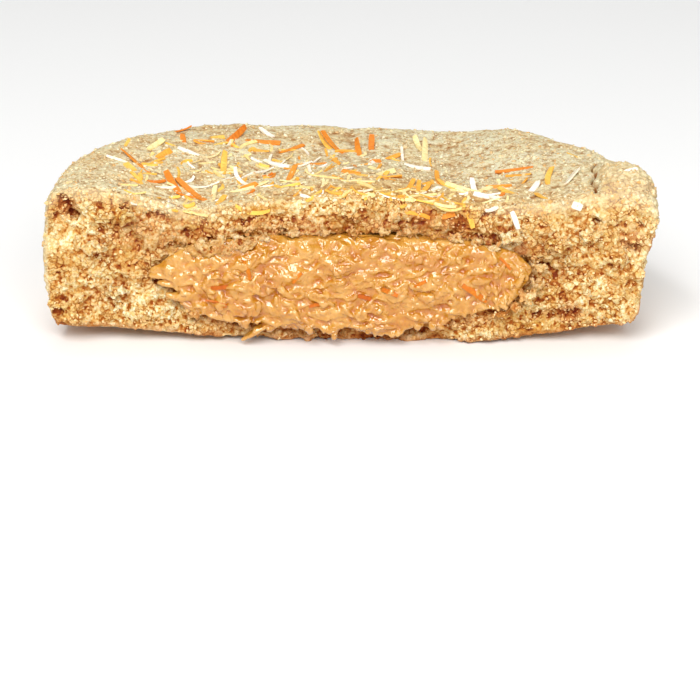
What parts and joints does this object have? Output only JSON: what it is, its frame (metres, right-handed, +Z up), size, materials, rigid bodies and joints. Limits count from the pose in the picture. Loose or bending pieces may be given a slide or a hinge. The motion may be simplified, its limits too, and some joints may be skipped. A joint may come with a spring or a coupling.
{
  "type": "stuffed cookie",
  "caption": "Half of a thick round stuffed cookie, cut straight through: soft baked crumb with a pale crust round a lens of caramel-coloured cream filling that shows on the cut face.",
  "frame": {"origin": "under the middle of the bounding box, on the surface that the half cookie stands on", "axes": "+Z up; the cut face looks along -Y; +X along the cut, to the right when looking at the cut face"},
  "size_m": [0.1056, 0.0538, 0.0285],
  "materials": {
    "baked_crumb": "matte baked crust and crumb",
    "cream_filling": "glossy nut cream"
  },
  "bodies": {
    "root": {"cookie_half": "baked_crumb", "filling": "cream_filling"}
  },
  "joints": []
}
